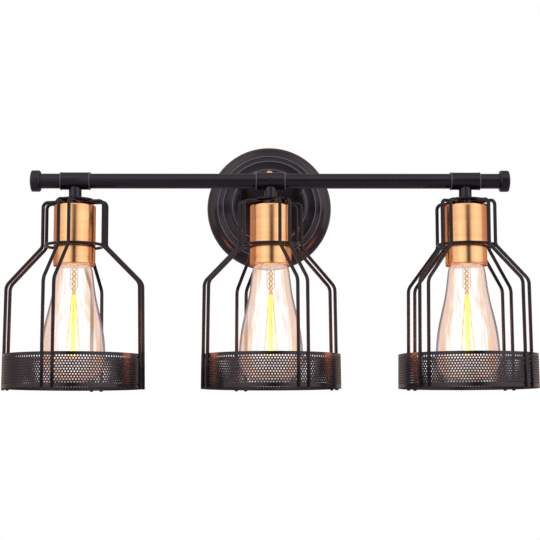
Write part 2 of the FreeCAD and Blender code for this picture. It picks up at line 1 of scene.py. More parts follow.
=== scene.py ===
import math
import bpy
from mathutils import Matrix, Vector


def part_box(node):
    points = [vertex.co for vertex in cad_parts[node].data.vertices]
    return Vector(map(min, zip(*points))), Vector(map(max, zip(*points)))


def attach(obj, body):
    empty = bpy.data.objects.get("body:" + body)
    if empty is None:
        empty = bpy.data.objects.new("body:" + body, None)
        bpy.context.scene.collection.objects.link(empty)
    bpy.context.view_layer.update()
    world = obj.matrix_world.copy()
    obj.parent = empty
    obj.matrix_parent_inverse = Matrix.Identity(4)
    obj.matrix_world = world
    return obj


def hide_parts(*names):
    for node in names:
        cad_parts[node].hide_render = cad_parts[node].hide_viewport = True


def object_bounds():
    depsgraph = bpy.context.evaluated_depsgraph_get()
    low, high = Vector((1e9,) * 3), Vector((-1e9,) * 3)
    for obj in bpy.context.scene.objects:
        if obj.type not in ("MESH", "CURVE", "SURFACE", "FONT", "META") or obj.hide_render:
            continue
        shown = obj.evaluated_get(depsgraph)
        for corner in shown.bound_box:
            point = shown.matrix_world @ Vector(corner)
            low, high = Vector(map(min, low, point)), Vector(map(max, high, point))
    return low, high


bl_info = {
    "name": "Three lamp wall vanity light",
    "version": (1, 0, 0),
    "blender": (4, 5, 0),
    "location": "View3D > Sidebar > Vanity Light",
    "description": "Builds the finished look of a wall light with three caged lamps around its packed frame",
    "category": "Object",
}

import bmesh
import bpy
from bpy.props import FloatProperty, FloatVectorProperty, IntProperty, PointerProperty
from mathutils import Matrix, Vector

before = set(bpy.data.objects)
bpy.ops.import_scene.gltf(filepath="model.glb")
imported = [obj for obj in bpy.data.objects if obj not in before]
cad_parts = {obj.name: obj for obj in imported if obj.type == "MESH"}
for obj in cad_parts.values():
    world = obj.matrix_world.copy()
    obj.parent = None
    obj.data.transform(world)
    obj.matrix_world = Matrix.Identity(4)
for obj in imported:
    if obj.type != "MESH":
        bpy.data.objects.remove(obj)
CAD_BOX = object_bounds()

# Shapes are worked out in millimetres, and link_mesh makes them metres
MM = 0.001
FULL_TURN = 2 * math.pi
SIDES = ("left", "middle", "right")
UP = Vector((0, 0, 1))
ROOM = Vector((0, -1, 0))
ALONG_BAR = Vector((1, 0, 0))
WHITE = (1.0, 1.0, 1.0)

# The camera, from the photograph's viewpoint, and the floor, in metres
CAMERA_DISTANCE = 1.4
CAMERA_BELOW_BAR = 0.2478
CAMERA_LEFT = 0.021
CAMERA_PITCH = math.radians(6.452)
CAMERA_YAW = math.radians(-0.829)
CAMERA_ROLL = math.radians(-0.116)
FOCAL_PIXELS = 1418.0
IMAGE_PIXELS = 540
SENSOR_WIDTH_MM = 36.0
FLOOR_HEIGHT = -0.62
FLOOR_SIZE = 6.0

# Clearance between a tube and the bore that it fits, and how close two measures are taken as one
FIT = 0.05
CLOSE = 0.001


def linear_from_hex(text):
    """sRGB hex to the linear colour that the shaders take."""
    values = []
    for start in (1, 3, 5):
        share = int(text[start:start + 2], 16) / 255
        values.append(share / 12.92 if share <= 0.04045 else ((share + 0.055) / 1.055) ** 2.4)
    return tuple(values)


def size_property(name, text, millimetres):
    return FloatProperty(name=name, description=text, default=millimetres * MM, min=0.0,
                         subtype="DISTANCE", unit="LENGTH", precision=5)


def colour_property(name, text, hex_text):
    return FloatVectorProperty(name=name, description=text, default=linear_from_hex(hex_text),
                               size=3, min=0.0, max=1.0, subtype="COLOR")


class VanitySizes(bpy.types.PropertyGroup):
    """Sizes that the dressed pieces follow where the frame doesn't set them."""

    wire: size_property("Cage wire radius", "Radius of the bent cage wires", 1.75)
    ring_wire: size_property("Ring wire radius", "Radius of the waist ring's wire", 1.5)
    hole: size_property("Hole diameter", "Diameter of the band's round holes", 1.80)
    hole_pitch: size_property("Hole pitch", "Distance between neighbouring holes in a row", 2.86)
    band_wall: size_property("Band thickness", "Thickness of the perforated sheet", 0.8)
    glass_wall: size_property("Glass thickness", "Wall of the lamp's glass", 0.8)
    strand: size_property("Filament radius", "Radius of a glowing strand", 0.65)
    edge: size_property("Edge rounding", "Rounding of the end caps' edges", 0.5)
    hole_rows: IntProperty(name="Hole rows", description="Rows of holes in the band", default=11, min=1)
    strands: IntProperty(name="Strands", description="Strands that fan out in each lamp", default=4, min=2)


class VanityColours(bpy.types.PropertyGroup):
    """Colours of the finishes."""

    black: colour_property("Black coat", "Satin black powder coat", "#151217")
    # A lighter coat painted on the canopy's crests and the collars' beads as a highlight, for the light that
    # these edges catch
    painted_highlight: colour_property("Rubbed edge", "Coat that handling has rubbed lighter along an edge", "#57545C")
    brass: colour_property("Cup brass", "Turned brass with a copper tone", "#F4B982")
    brass_deep: colour_property("Cup brass, deep", "The redder streaks in the turned brass", "#EBA872")
    nut: colour_property("Nut brass", "Polished brass of the cap nuts", "#F4D088")
    # The glass's painted glow: warm and rosy colours that stand in for reflections, shown beside its middle
    # and at its outline
    glass: colour_property("Glass veil", "Warm tint that the glass shows beside its middle", "#F9C6A0")
    painted_rim_glow: colour_property("Glass rim", "Rosy tint that the glass shows at its outline", "#F1D8D3")
    glow: colour_property("Filament", "Glowing filament", "#F0E040")
    glow_hot: colour_property("Filament core", "The hottest part of the filament", "#F5EC60")
    porcelain: colour_property("Porcelain", "Glazed lamp holder", "#E9E4DA")
    zinc: colour_property("Zinc", "Bright zinc plating", "#B9BABC")
    backdrop: colour_property("Backdrop", "Floor and background", "#FFFFFF")


def size_in_mm(name):
    """One of the panel's sizes, in millimetres."""
    return getattr(bpy.context.scene.vanity_sizes, name) / MM


# Nodes and materials

MATERIALS = {}


def add_node(tree, kind, settings=None, links=None):
    """Adds one node with its settings and links.

    Sockets go by name or index, and a node that is given as a source stands for its first output. The
    setting "stops" is a colour ramp's stops, each a position and a colour."""
    node = tree.nodes.new("ShaderNode" + kind)
    for key, value in (settings or {}).items():
        if key == "stops":
            elements = node.color_ramp.elements
            elements.remove(elements[-1])
            elements[0].position, elements[0].color = value[0][0], opaque(value[0][1])
            for position, colour in value[1:]:
                elements.new(position).color = opaque(colour)
        elif isinstance(key, str) and hasattr(node, key):
            setattr(node, key, value)
        else:
            node.inputs[key].default_value = value
    for key, source in (links or {}).items():
        tree.links.new(getattr(source, "outputs", (source,))[0], node.inputs[key])
    return node


def new_material(name):
    material = bpy.data.materials.new(name)
    material.use_nodes = True
    material.node_tree.nodes.clear()
    return material, material.node_tree


def opaque(colour):
    return (*colour, 1.0)


def shade(colour, share):
    return tuple(value * share for value in colour)


def patterned(name, tones, gloss, grain, cloud=None, bump=None, shader=None):
    """A material whose colour, roughness and relief follow noise in the piece's own space.

    tones are the colour's stops, and gloss is the lowest and highest roughness. grain and cloud are each a
    noise's scale, in one or three directions, and detail. The colour follows the cloud if there is one, and
    the rest follows the grain. bump is a strength and a depth in mm, and shader the surface's settings."""
    material, tree = new_material(name)
    place = add_node(tree, "TexCoord").outputs["Object"]
    noises = []
    for scale, detail in (grain, cloud) if cloud else (grain,):
        spot = place
        if isinstance(scale, tuple):
            spot, scale = add_node(tree, "Mapping", {"Scale": scale}, {0: place}), 1.0
        noises.append(add_node(tree, "TexNoise", {"Scale": scale, "Detail": detail}, {0: spot}))
    links = {
        "Base Color": add_node(tree, "ValToRGB", {"stops": tones}, {0: noises[-1]}),
        "Roughness": add_node(tree, "MapRange", {"To Min": gloss[0], "To Max": gloss[1]}, {0: noises[0]}),
    }
    if bump:
        depth = {"Strength": bump[0], "Distance": bump[1] * MM}
        links["Normal"] = add_node(tree, "Bump", depth, {"Height": noises[0]})
    add_node(tree, "OutputMaterial", links={"Surface": add_node(tree, "BsdfPrincipled", shader, links)})
    return material


def black_coat(name, colour, gloss, peel_depth, specular):
    """Black powder coat on steel: a soft sheen over a fine orange-peel surface."""
    # The peel is about 0.4 mm across, drawn at 0.9 mm so that it shows; the tone drifts over 22 mm
    tones = [(0.3, shade(colour, 0.8)), (0.7, shade(colour, 1.25))]
    sheen = {"IOR": 1.5, "Specular IOR Level": specular, "Specular Tint": opaque(linear_from_hex("#F6ECFC"))}
    return patterned(name, tones, gloss, (1 / (0.9 * MM), 2.0), (1 / (22 * MM), 3.0), (peel_depth, 0.12),
                     shader=sheen)


def turned_brass(colours):
    """Lathe-turned brass under clear lacquer: very fine rings round the cup draw its highlights upward."""
    # Turning marks run round the cup every 0.2 mm, drawn at 0.6 mm so that they show, and along the mark
    # they hardly change. The colour drifts every 7 mm up the cup. The lacquer is the coat, and the copper
    # tone deepens where the cup turns away
    lacquer = {"Metallic": 1.0, "Coat Weight": 0.6, "Coat Roughness": 0.12,
               "Specular Tint": opaque(linear_from_hex("#F0A070"))}
    return patterned("turned_brass", [(0.3, colours.brass_deep), (0.6, colours.brass)], (0.16, 0.22),
                     ((6.0, 6.0, 1 / (0.6 * MM)), 2.0), ((9.0, 9.0, 1 / (7 * MM)), 2.0), (0.04, 0.05),
                     shader=lacquer)


def plain_metal(name, colour, gloss, grain_mm):
    """Plated or polished metal: its gloss and tone drift in grains of a size in mm, so it is no mirror."""
    return patterned(name, [(0.3, shade(colour, 0.86)), (0.65, colour)], gloss, (1 / (grain_mm * MM), 3.0),
                     bump=(0.08, 0.05), shader={"Metallic": 1.0})


def plain_surface(name, colour, gloss, grain_mm, coat):
    """Glazed, moulded or enamelled surface: faint mottling of a size in mm, under a coat where it is wet."""
    return patterned(name, [(0.3, shade(colour, 0.9)), (0.7, colour)], gloss, (1 / (grain_mm * MM), 2.0),
                     shader={"IOR": 1.5, "Coat Weight": coat})


# Share of the veil, a painted glow that stands in for reflections in the glass, and its hue, by how far the
# glass turns away from the eye
PAINTED_GLOW_SHARES = ((0.10, 0.06), (0.22, 0.09), (0.36, 0.15), (0.53, 0.24), (0.80, 0.30), (0.96, 0.4))
PAINTED_GLOW_PALE = "#FBE3C4"
# Where the painted glow stands in for the lamp's own light filling the glass: a height below the bar at which
# the fill starts, one at which it is full, in mm, and the share that it adds
PAINTED_GLOW_FILLS = ((-135, -170, 0.15), (-84, -72, 0.15))


def blown_glass(name, colours, glow_share):
    """Clear blown soda glass: clear in the middle, veiled by warm and rosy light towards its outline."""
    material, tree = new_material(name)
    place = add_node(tree, "TexCoord").outputs["Object"]
    # Blown glass has slow waves, about 14 mm long
    wave = add_node(tree, "TexNoise", {"Scale": 1 / (14 * MM), "Detail": 1.0}, {0: place})
    bump = add_node(tree, "Bump", {"Strength": 0.10, "Distance": 0.6 * MM}, {"Height": wave})
    facing = add_node(tree, "LayerWeight", {"Blend": 0.5}, {"Normal": bump}).outputs["Facing"]
    # Drawn glass has faint upright streaks, about 3 mm apart, which break the veil's inner edge
    upright = add_node(tree, "Mapping", {"Scale": (330.0, 330.0, 12.0)}, {0: place})
    streaks = add_node(tree, "TexNoise", {"Scale": 1.0, "Detail": 1.0}, {0: upright})
    swing = add_node(tree, "MapRange", {"To Min": -0.4, "To Max": 0.4}, {0: streaks})
    turned = add_node(tree, "Math", {"operation": "ADD"}, {0: facing, 1: swing})
    warm, rim = colours.glass, colours.painted_rim_glow
    stops = [(0.18, WHITE), (0.26, linear_from_hex(PAINTED_GLOW_PALE)), (0.34, warm), (0.43, warm),
             (0.47, shade(rim, 0.8)), (0.52, rim), (0.82, rim), (0.96, shade(rim, 0.75))]
    hue = add_node(tree, "ValToRGB", {"stops": stops}, {0: turned})
    # The line of sight crosses four faces of the wall, and each holds a share of the veil's painted glow
    stops = [(position, shade(WHITE, share)) for position, share in PAINTED_GLOW_SHARES]
    whole = add_node(tree, "ValToRGB", {"stops": stops}, {0: turned})
    height = add_node(tree, "SeparateXYZ", links={0: place}).outputs["Z"]
    for start, full, most in PAINTED_GLOW_FILLS:
        reach = {"From Min": start * MM, "From Max": full * MM, "To Max": most}
        fill = add_node(tree, "MapRange", reach, {0: height})
        whole = add_node(tree, "Math", {"operation": "ADD"}, {0: whole, 1: fill})
    whole = add_node(tree, "Math", {"operation": "MULTIPLY", 1: glow_share}, {0: whole})
    # The clear part takes a little of the painted glow's hue, and the veil is the painted glow itself, given
    # out as emission
    tint = add_node(tree, "Mix", {"data_type": "RGBA", 0: 0.18, 6: opaque(WHITE)}, {7: hue}).outputs[2]
    clear = add_node(tree, "BsdfTransparent", links={"Color": tint})
    painted_glow = add_node(tree, "Emission", {"Strength": 1.0}, {"Color": hue})
    body = add_node(tree, "MixShader", links={0: whole, 1: clear, 2: painted_glow})
    mirror = add_node(tree, "BsdfPrincipled",
                      {"Base Color": opaque(WHITE), "Metallic": 1.0, "Roughness": 0.05}, {"Normal": bump})
    shine = add_node(tree, "Fresnel", {"IOR": 1.07}, {"Normal": bump})
    mix = add_node(tree, "MixShader", links={0: shine, 1: body, 2: mirror})
    add_node(tree, "OutputMaterial", links={"Surface": mix})
    return material


def lit_wire(name, cooler, hotter, strength, grain_mm):
    """Wire that gives its own light, hotter and paler in beads of a size in mm along it."""
    material, tree = new_material(name)
    place = add_node(tree, "TexCoord").outputs["Object"]
    beads = add_node(tree, "TexNoise", {"Scale": 1 / (grain_mm * MM), "Detail": 1.0}, {0: place})
    tone = add_node(tree, "ValToRGB", {"stops": [(0.35, cooler), (0.7, hotter)]}, {0: beads})
    shader = add_node(tree, "BsdfPrincipled",
                      {"Base Color": opaque(cooler), "Roughness": 0.5, "Emission Strength": strength},
                      {"Emission Color": tone})
    add_node(tree, "OutputMaterial", links={"Surface": shader})
    return material


def make_materials():
    colours = bpy.context.scene.vanity_colours
    tone = linear_from_hex
    MATERIALS.update({
        # Satin powder coat on steel tube, spinning and sheet: near black with a soft, broken highlight
        "black": black_coat("powder_coated_steel", colours.black, (0.19, 0.26), 0.05, 0.5),
        # The same coat on drawn wire, at half its colour as painted shade, with a narrower highlight
        "wire": black_coat("powder_coated_wire_painted_shade", shade(colours.black, 0.5), (0.05, 0.09), 0.02, 0.38),
        # The coat on a crest, painted greyer and duller: a painted highlight where the crest catches the
        # light
        "painted_highlight": black_coat("painted_highlight_coat", colours.painted_highlight, (0.25, 0.35), 0.05, 0.5),
        "cup": turned_brass(colours),
        # Machined and buffed brass: pale gold, almost a mirror
        "nut": plain_metal("polished_brass", colours.nut, (0.12, 0.22), 3.0),
        # Brass sheet as the press leaves it, on screw shells and contacts: a dull, darker gold
        "stamped": plain_metal("stamped_brass", tone("#C9A25E"), (0.30, 0.42), 1.2),
        # Zinc plated on pressed steel: a cool, cloudy grey
        "zinc": plain_metal("zinc_plate", colours.zinc, (0.28, 0.45), 2.5),
        # Steel screw blackened in a bath: dark grey metal with a dull sheen
        "oxide": plain_metal("black_oxide_steel", tone("#3A393B"), (0.35, 0.5), 1.0),
        # Porcelain fired with a clear glaze: warm white under a wet highlight
        "porcelain": plain_surface("glazed_porcelain", colours.porcelain, (0.12, 0.22), 6.0, 0.5),
        # Enamel dipped and baked on the ground screw: green with a half gloss
        "green": plain_surface("green_enamel", tone("#1E6B34"), (0.25, 0.35), 1.0, 0.2),
        # Vinyl drawn over the copper of the leads: smooth and a little waxy
        "live": plain_surface("black_insulation", tone("#1C1C1D"), (0.40, 0.55), 1.5, 0.0),
        "neutral": plain_surface("white_insulation", tone("#DDDAD2"), (0.40, 0.55), 1.5, 0.0),
        # Black glass moulded into the lamp's cap: deep black with a sharp highlight
        "insulator": plain_surface("black_glass_insulator", tone("#17161A"), (0.1, 0.2), 2.0, 0.3),
        # The lamp's envelope, and the drawn tube in it, which is narrow and takes little of the painted glow
        "glass": blown_glass("blown_glass", colours, 1.0),
        "tube": blown_glass("glass_tube", colours, 0.3),
        # Carbon filament at full heat, its cooler strands, and the lead wires and spokes, given a painted
        # amber glow for the filament's light on them
        "glow": lit_wire("glowing_filament", colours.glow, colours.glow_hot, 1.0, 1.6),
        "ember": lit_wire("cooler_filament", tone("#B88432"), tone("#F2DC58"), 1.0, 7.0),
        "amber": lit_wire("lead_wire_painted_glow", tone("#855A1C"), tone("#E8C04E"), 0.9, 0.9),
    })


def link_object(name, data):
    item = bpy.data.objects.new(name, data)
    bpy.context.scene.collection.objects.link(item)
    return item


# Shapes: each is a pair of vertices, in millimetres, and faces

def link_mesh(name, shape, finish, smooth_below=40):
    """Makes one object of a shape, smooth except where its faces meet at a sharp angle in degrees."""
    mesh = bpy.data.meshes.new(name)
    mesh.from_pydata([tuple(Vector(vertex) * MM) for vertex in shape[0]], [], shape[1])
    mesh.validate()
    solid = bmesh.new()
    solid.from_mesh(mesh)
    bmesh.ops.recalc_face_normals(solid, faces=solid.faces)
    solid.to_mesh(mesh)
    solid.free()
    mesh.polygons.foreach_set("use_smooth", [True] * len(mesh.polygons))
    mesh.set_sharp_from_angle(angle=math.radians(smooth_below))
    mesh.materials.append(MATERIALS[finish])
    return link_object(name, mesh)


def add_piece(name, shape, finish, smooth_below, body, slot, *nodes):
    """Makes a piece, says what it rides on and hides the frame nodes that it stands for; slot is not used."""
    piece = link_mesh(name, shape, finish, smooth_below)
    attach(piece, body)
    if nodes:
        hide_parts(*nodes)
    return piece


def drill(piece, place, direction, radius, depth):
    """Drills a round hole into the piece, with a clean edge."""
    outline = [(0, 0), (radius, 0), (radius, depth), (0, depth)]
    bit = link_mesh("bit", spun(outline, place, direction, 32), "black")
    piece.modifiers.new("hole", "BOOLEAN").object = bit
    drilled = bpy.data.meshes.new_from_object(piece.evaluated_get(bpy.context.evaluated_depsgraph_get()))
    piece.modifiers.clear()
    piece.data = drilled
    drilled.set_sharp_from_angle(angle=math.radians(35))
    bpy.data.objects.remove(bit)


def paint_edge_highlights(piece, is_edge):
    """Gives the faces whose middle is_edge picks the lighter coat, a highlight painted along an edge."""
    piece.data.materials.append(MATERIALS["painted_highlight"])
    for face in piece.data.polygons:
        if is_edge(face.center / MM):
            face.material_index = 1


def softened(corners, steps=5):
    """An outline of (across, along, rounding) corners with each corner rounded by its own radius."""
    result = []
    for index, (across, along, rounding) in enumerate(corners):
        here = Vector((across, along))
        result.append(here)
        if rounding <= 0 or index in (0, len(corners) - 1):
            continue
        back, ahead = [Vector(corners[index + step][:2]) - here for step in (-1, 1)]
        half = back.angle(ahead) / 2
        if half > math.radians(89.5):
            continue
        # A rounding reaches at most to just short of the middle of each side
        reach = min(rounding / math.tan(half), 0.48 * back.length, 0.48 * ahead.length)
        start, end = here + back.normalized() * reach, here + ahead.normalized() * reach
        centre = here + (back.normalized() + ahead.normalized()).normalized() * (reach / math.cos(half))
        sweep = math.pi - 2 * half
        if (start - centre).cross(end - centre) <= 0:
            sweep = -sweep
        result[-1:] = [centre + Matrix.Rotation(sweep * step / steps, 2) @ (start - centre)
                       for step in range(steps + 1)]
    return result


def stitched(rows):
    """Faces between each row of vertices, closed in a loop, and the next row."""
    faces = []
    for lower, upper in zip(rows, rows[1:]):
        for step in range(len(lower)):
            after = (step + 1) % len(lower)
            face = list(dict.fromkeys([lower[step], lower[after], upper[after], upper[step]]))
            if len(face) > 2:
                faces.append(face)
    return faces


def turns(count):
    """The angles of a full turn in equal steps."""
    return [FULL_TURN * step / count for step in range(count)]


def about(angle, reach=1.0):
    """The way from the upright axis to a point at an angle and a reach from it."""
    return Vector((reach * math.cos(angle), reach * math.sin(angle), 0))


def spun(outline, place, direction=UP, segments=96):
    """A closed outline of (radius, height along the direction) points spun about an axis through a place."""
    matrix = Matrix.Translation(place) @ UP.rotation_difference(direction).to_matrix().to_4x4()
    vertices, rows = [], []
    for across, along in outline:
        # A point on the axis is one vertex
        angles = turns(segments) if across > CLOSE / 10 else [0]
        rows.append([len(vertices) + segment % len(angles) for segment in range(segments)])
        vertices += [matrix @ (about(angle, across) + UP * along) for angle in angles]
    return vertices, stitched(rows + rows[:1])


def join(shapes):
    vertices, faces = [], []
    for more_vertices, more_faces in shapes:
        offset = len(vertices)
        vertices.extend(more_vertices)
        faces.extend([[index + offset for index in face] for face in more_faces])
    return vertices, faces


def drawn_wire(points, radius, sides=16):
    """A round wire along points, with softly cut ends."""
    last = len(points) - 1
    headings = [(points[min(index + 1, last)] - points[max(index - 1, 0)]).normalized()
                for index in range(last + 1)]
    side = headings[0].orthogonal().normalized()
    vertices, rows = [], []

    def add_row(centre, size):
        other = heading.cross(side).normalized()
        rows.append([len(vertices) + step for step in range(sides)])
        vertices.extend([centre + (side * math.cos(angle) + other * math.sin(angle)) * size
                         for angle in turns(sides)])

    bevel, quarter_turn = radius * 0.3, turns(12)[:4]
    for index, (centre, heading) in enumerate(zip(points, headings)):
        side = (side - heading * side.dot(heading)).normalized()
        if index == 0:
            for angle in quarter_turn[:-1]:
                inset = bevel * (1 - math.sin(angle))
                add_row(centre + heading * inset, radius - inset)
        add_row(centre + heading * bevel * ((index == 0) - (index == last)), radius)
        if index == last:
            for angle in quarter_turn[1:]:
                inset = bevel * (1 - math.cos(angle))
                add_row(centre - heading * bevel * (1 - math.sin(angle)), radius - inset)
    return vertices, stitched(rows) + [rows[0][::-1], rows[-1]]


def bead(centre, size, flat_along, flatness):
    """A small weld bead: a round drop, flattened along one direction."""
    outline = [(math.sin(angle) * size, math.cos(angle) * flatness * size) for angle in turns(12)[:7]]
    return spun(outline, centre, flat_along, 10)


def box(node):
    """The node's lowest and highest corners, in millimetres."""
    return [Vector(corner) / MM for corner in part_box(node)]


def measure(node):
    """The node's middle and size."""
    low, high = box(node)
    return (low + high) / 2, high - low


def lamp_axis(side):
    """A point on the lamp's upright axis at the bar's height."""
    bar = measure("bar_tube")[0]
    return Vector((measure(side + "_socket_cup")[0].x, bar.y, bar.z))


def heights_from(axis, node):
    """The top and bottom of a node above the bar's axis, and half its width."""
    low, high = box(node)
    return high.z - axis.z, low.z - axis.z, (high.x - low.x) / 2


class VANITY_OT_camera(bpy.types.Operator):
    """Set the camera at the photograph's viewpoint"""

    bl_idname = "vanity.camera"
    bl_label = "Camera"

    def execute(self, context):
        data = bpy.data.cameras.new("photo_camera")
        data.sensor_width = SENSOR_WIDTH_MM
        data.lens = SENSOR_WIDTH_MM * FOCAL_PIXELS / IMAGE_PIXELS
        data.clip_end = 30.0
        camera = link_object("photo_camera", data)
        bar = measure("bar_tube")[0] * MM
        camera.location = (bar.x - CAMERA_LEFT, bar.y - CAMERA_DISTANCE, bar.z - CAMERA_BELOW_BAR)
        aim = Matrix.Rotation(CAMERA_YAW, 3, "Z") @ Matrix.Rotation(math.pi / 2 + CAMERA_PITCH, 3, "X")
        camera.rotation_euler = (aim @ Matrix.Rotation(CAMERA_ROLL, 3, "Z")).to_euler()
        context.scene.camera = camera
        return {"FINISHED"}


class VANITY_OT_stage(bpy.types.Operator):
    """Add the pale floor, the white background and the soft studio lights"""

    bl_idname = "vanity.stage"
    bl_label = "Stage"

    # Brightness of the mirrored room, as a share of a soft box's middle, by how far a direction points to
    # the side, upward, and to the front
    to_the_side = ((0.10, 0.0), (0.18, 0.35), (0.30, 0.7), (0.5, 0.85), (0.68, 0.98), (0.85, 0.8),
                   (0.97, 0.65))
    upward = ((-1.0, 0.3), (-0.1, 0.02), (0.2, 0.05), (0.32, 0.14), (0.46, 0.42), (0.6, 0.72), (0.8, 0.7),
              (1.0, 0.42))
    to_the_front = ((-0.6, 0.45), (-0.16, 0.55), (0.12, 1.0))
    rear_hue = "#FFE2D4"
    brightest = 1.55
    strip_shift = -0.08
    ambient = 0.72
    floor_grey = 0.8
    floor_mirrored = 0.45
    floor_lift = 0.35
    # Name, place, size in metres and power in watts
    lamps = (
        ("key_light", (-1.5, -1.9, 1.3), 1.2, 10.0),
        ("fill_light", (1.7, -1.6, 0.5), 1.0, 5.0),
        ("top_light", (0.1, -0.4, 1.9), 1.4, 8.0),
    )

    def execute(self, context):
        scene = context.scene
        scene.view_settings.view_transform = "Standard"
        self.add_world(scene)
        self.add_floor(scene)
        middle = (Vector(CAD_BOX[0]) + Vector(CAD_BOX[1])) / 2
        for name, place, size, power in self.lamps:
            data = bpy.data.lights.new(name, "AREA")
            data.shape = "SQUARE"
            data.size = size
            data.energy = power
            lamp = link_object(name, data)
            lamp.location = place
            lamp.rotation_euler = (middle - Vector(place)).to_track_quat("-Z", "Y").to_euler()
            lamp.visible_glossy = False
        return {"FINISHED"}

    def kinds_of_ray(self, tree):
        """Whether a ray is mirrored, and whether the camera sees it, straight or through glass."""
        path = add_node(tree, "LightPath").outputs
        seen = {0: path["Is Camera Ray"], 1: path["Is Transmission Ray"]}
        return path["Is Glossy Ray"], add_node(tree, "Math", {"operation": "MAXIMUM"}, seen)

    def level(self, tree, source, stops, hue=WHITE):
        """A brightness read from stops of a value between -1 and 1 and its level, in one hue below full."""
        place = add_node(tree, "MapRange", {"From Min": -1.0}, {0: source})
        colours = [((value + 1) / 2, shade(hue if share < 1 else WHITE, share)) for value, share in stops]
        return add_node(tree, "ValToRGB", {"stops": colours}, {0: place})

    def add_world(self, scene):
        scene.world = bpy.data.worlds.new("white_room")
        scene.world.use_nodes = True
        tree = scene.world.node_tree
        tree.nodes.clear()
        mirrored, seen = self.kinds_of_ray(tree)
        # Shiny pieces mirror two tall soft boxes in front, one overhead, a dark camera side and a dim wall
        # behind
        parts = add_node(tree, "SeparateXYZ", links={0: add_node(tree, "TexCoord")}).outputs
        moved = add_node(tree, "Math", {"operation": "ADD", 1: self.strip_shift}, {0: parts["X"]})
        across = add_node(tree, "Math", {"operation": "ABSOLUTE"}, {0: moved})
        ahead = add_node(tree, "Math", {"operation": "MULTIPLY", 1: -1.0}, {0: parts["Y"]})
        boxes = add_node(tree, "Math", {"operation": "MAXIMUM"}, {
            0: self.level(tree, across, self.to_the_side), 1: self.level(tree, parts["Z"], self.upward)})
        bright = add_node(tree, "Math", {"operation": "MULTIPLY", 1: self.brightest}, {0: boxes})
        front = self.level(tree, ahead, self.to_the_front, linear_from_hex(self.rear_hue))
        room = add_node(tree, "VectorMath", {"operation": "MULTIPLY"}, {0: front, 1: bright})
        ambient = opaque(shade(WHITE, self.ambient))
        lit = add_node(tree, "Mix", {"data_type": "RGBA", 6: ambient}, {0: mirrored, 7: room}).outputs[2]
        backed = add_node(tree, "Mix", {"data_type": "RGBA", 7: opaque(WHITE)}, {0: seen, 6: lit}).outputs[2]
        background = add_node(tree, "Background", links={"Color": backed})
        add_node(tree, "OutputWorld", links={"Surface": background})

    def add_floor(self, scene):
        material, tree = new_material("white_floor")
        mirrored, seen = self.kinds_of_ray(tree)
        greys = (self.floor_grey, self.floor_grey * self.floor_mirrored)
        seen_grey, mirrored_grey = [opaque(shade(WHITE, grey)) for grey in greys]
        tone = add_node(tree, "Mix", {"data_type": "RGBA", 6: seen_grey, 7: mirrored_grey},
                        {0: mirrored}).outputs[2]
        paint = add_node(tree, "BsdfDiffuse", links={"Color": tone})
        # Lifted to white where it is seen, so that only the shadow stays on it
        lift = add_node(tree, "Math", {"operation": "MULTIPLY", 1: self.floor_lift}, {0: seen})
        white = opaque(scene.vanity_colours.backdrop)
        glow = add_node(tree, "Emission", {"Color": white}, {"Strength": lift})
        add_node(tree, "OutputMaterial", links={
            "Surface": add_node(tree, "AddShader", links={0: paint, 1: glow})})
        MATERIALS["floor"] = material
        half, level = FLOOR_SIZE / 2 / MM, FLOOR_HEIGHT / MM
        corners = [(-half, -half, level), (half, -half, level), (half, half, level), (-half, half, level)]
        link_mesh("floor", (corners, [[0, 1, 2, 3]]), "floor")


class VANITY_OT_canopy(bpy.types.Operator):
    """Spin the stepped canopy and its two cap nuts"""

    bl_idname = "vanity.canopy"
    bl_label = "Canopy"

    # Radius, height above the wall and rounding of each corner
    outline = (
        (66.2, 0.0, 0.0), (66.2, 2.6, 1.6), (65.2, 5.6, 4.0), (62.5, 9.5, 12.0), (58.9, 12.3, 12.0),
        (55.6, 13.9, 0.3), (55.2, 14.9, 0.5), (54.2, 15.2, 0.5), (53.8, 14.8, 0.2), (50.2, 15.5, 0.2),
        (49.6, 17.0, 0.4), (48.7, 17.5, 0.4), (48.3, 17.2, 0.2), (41.4, 17.9, 0.5), (40.3, 18.6, 0.5),
        (39.6, 21.3, 0.7), (38.6, 21.9, 0.4), (37.8, 21.9, 0.3), (36.9, 22.9, 0.5), (30.0, 23.0, 0.0),
        (0.0, 23.0, 0.0),
    )
    wall = 1.2
    # The crests that get the painted highlight: from radius, to radius, above height
    ridges = ((54.1, 55.3, 14.6), (48.6, 49.6, 16.7), (38.5, 39.7, 20.8))

    def execute(self, context):
        inner = [(max(across - self.wall, 0), along - self.wall if along > 0 else 0)
                 for across, along, _rounding in self.outline]
        shape = spun(softened(self.outline)[::-1] + inner, Vector(), ROOM, 128)
        canopy = add_piece("spun_canopy", shape, "black", 50, "root", "black_steel", "canopy")

        def on_ridge(middle):
            across = math.hypot(middle.x, middle.z)
            return any(low < across < high and -middle.y > rise for low, high, rise in self.ridges)

        # The crests get the lighter coat as a painted highlight
        paint_edge_highlights(canopy, on_ridge)
        self.add_nuts()
        return {"FINISHED"}

    def add_nuts(self):
        low, high = box("cap_nuts")
        radius, height, flange = (high.x - low.x) / 2, high.y - low.y, 1.6
        dome = radius * 0.92
        outline = softened([(0, 0, 0), (radius, 0, 0), (radius, flange, 0.3), (dome, flange, 0.2),
                            (dome, height - dome, 0)])
        outline += [(dome * math.cos(angle), height - dome + dome * math.sin(angle))
                    for angle in turns(48)[1:13]]
        nuts = join(spun(outline, Vector((0, high.y, level)), ROOM, 48)
                    for level in (low.z + radius, high.z - radius))
        add_piece("domed_cap_nuts", nuts, "nut", 40, "root", "brass", "cap_nuts")


